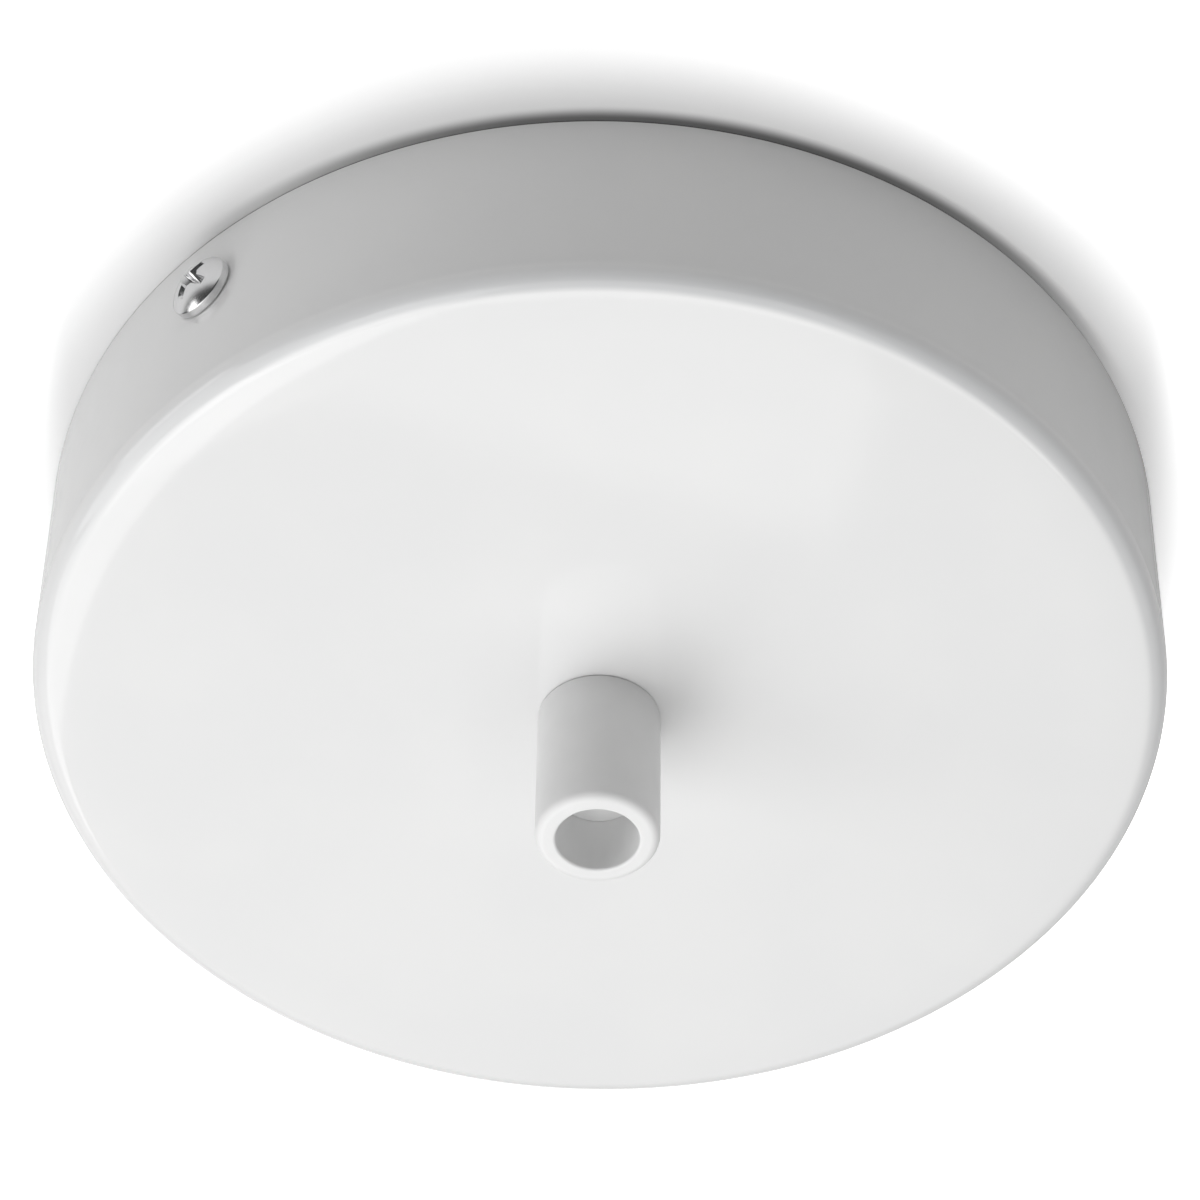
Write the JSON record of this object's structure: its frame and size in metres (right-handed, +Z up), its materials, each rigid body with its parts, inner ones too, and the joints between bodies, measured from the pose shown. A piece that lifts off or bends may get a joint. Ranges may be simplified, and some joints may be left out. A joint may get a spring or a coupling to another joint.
{
  "type": "electrical ceiling rose",
  "caption": "Round white metal ceiling rose: a shallow drum canopy held to a ceiling bracket by side screws, with a cylindrical cord grip in the middle and terminals inside.",
  "frame": {"origin": "centre of the ceiling bracket's back, on the ceiling plane", "axes": "+Z up into the ceiling, +X along the bracket from one side screw to the other; the rose hangs towards -Z"},
  "size_m": [0.1246, 0.12, 0.043],
  "materials": {
    "white_enamel": "glossy white stove enamel on pressed steel",
    "white_nylon": "satin moulded white plastic",
    "bright_nickel": "bright nickel plate",
    "zinc_plate": "bluish bright zinc plate on rolled steel",
    "terminal_nylon": "natural off-white moulded plastic",
    "brass": "bright turned brass"
  },
  "bodies": {
    "rose": {"canopy": "white_enamel", "ceiling_bracket": "zinc_plate", "threaded_nipple": "zinc_plate", "nipple_nut": "zinc_plate", "nipple_lock_washer": "zinc_plate", "terminal_housing": "terminal_nylon", "earth_washer": "zinc_plate", "earth_screw": "brass", "terminal_barrel_1": "brass", "terminal_barrel_2": "brass", "terminal_barrel_3": "brass", "clamp_screw_1_left": "zinc_plate", "clamp_screw_1_right": "zinc_plate", "clamp_screw_2_left": "zinc_plate", "clamp_screw_2_right": "zinc_plate", "clamp_screw_3_left": "zinc_plate", "clamp_screw_3_right": "zinc_plate", "block_screw_1": "zinc_plate", "block_screw_2": "zinc_plate"},
    "grip_collet": {"grip_collet": "white_nylon"},
    "grip_sleeve": {"grip_sleeve": "white_nylon"},
    "side_screw_left": {"side_screw_left": "bright_nickel"},
    "side_screw_right": {"side_screw_right": "bright_nickel"}
  },
  "joints": [
    {"name": "grip_travel", "type": "slide", "parent": "rose", "child": "grip_collet", "axis": [0, 0, -1], "range_m": [0, 0.004]},
    {"name": "grip_turn", "type": "hinge", "parent": "grip_collet", "child": "grip_sleeve", "pos_m": [0, 0, -0.034], "axis": [0, 0, -1], "range_deg": [0, 1440]},
    {"name": "side_screw_left_out", "type": "slide", "parent": "rose", "child": "side_screw_left", "axis": [-1, 0, 0], "range_m": [0, 0.006]},
    {"name": "side_screw_right_out", "type": "slide", "parent": "rose", "child": "side_screw_right", "axis": [1, 0, 0], "range_m": [0, 0.006]}
  ],
  "couplings": [
    {"joint": "grip_turn", "follows": "grip_travel", "rad_per_m": 6283.2}
  ]
}
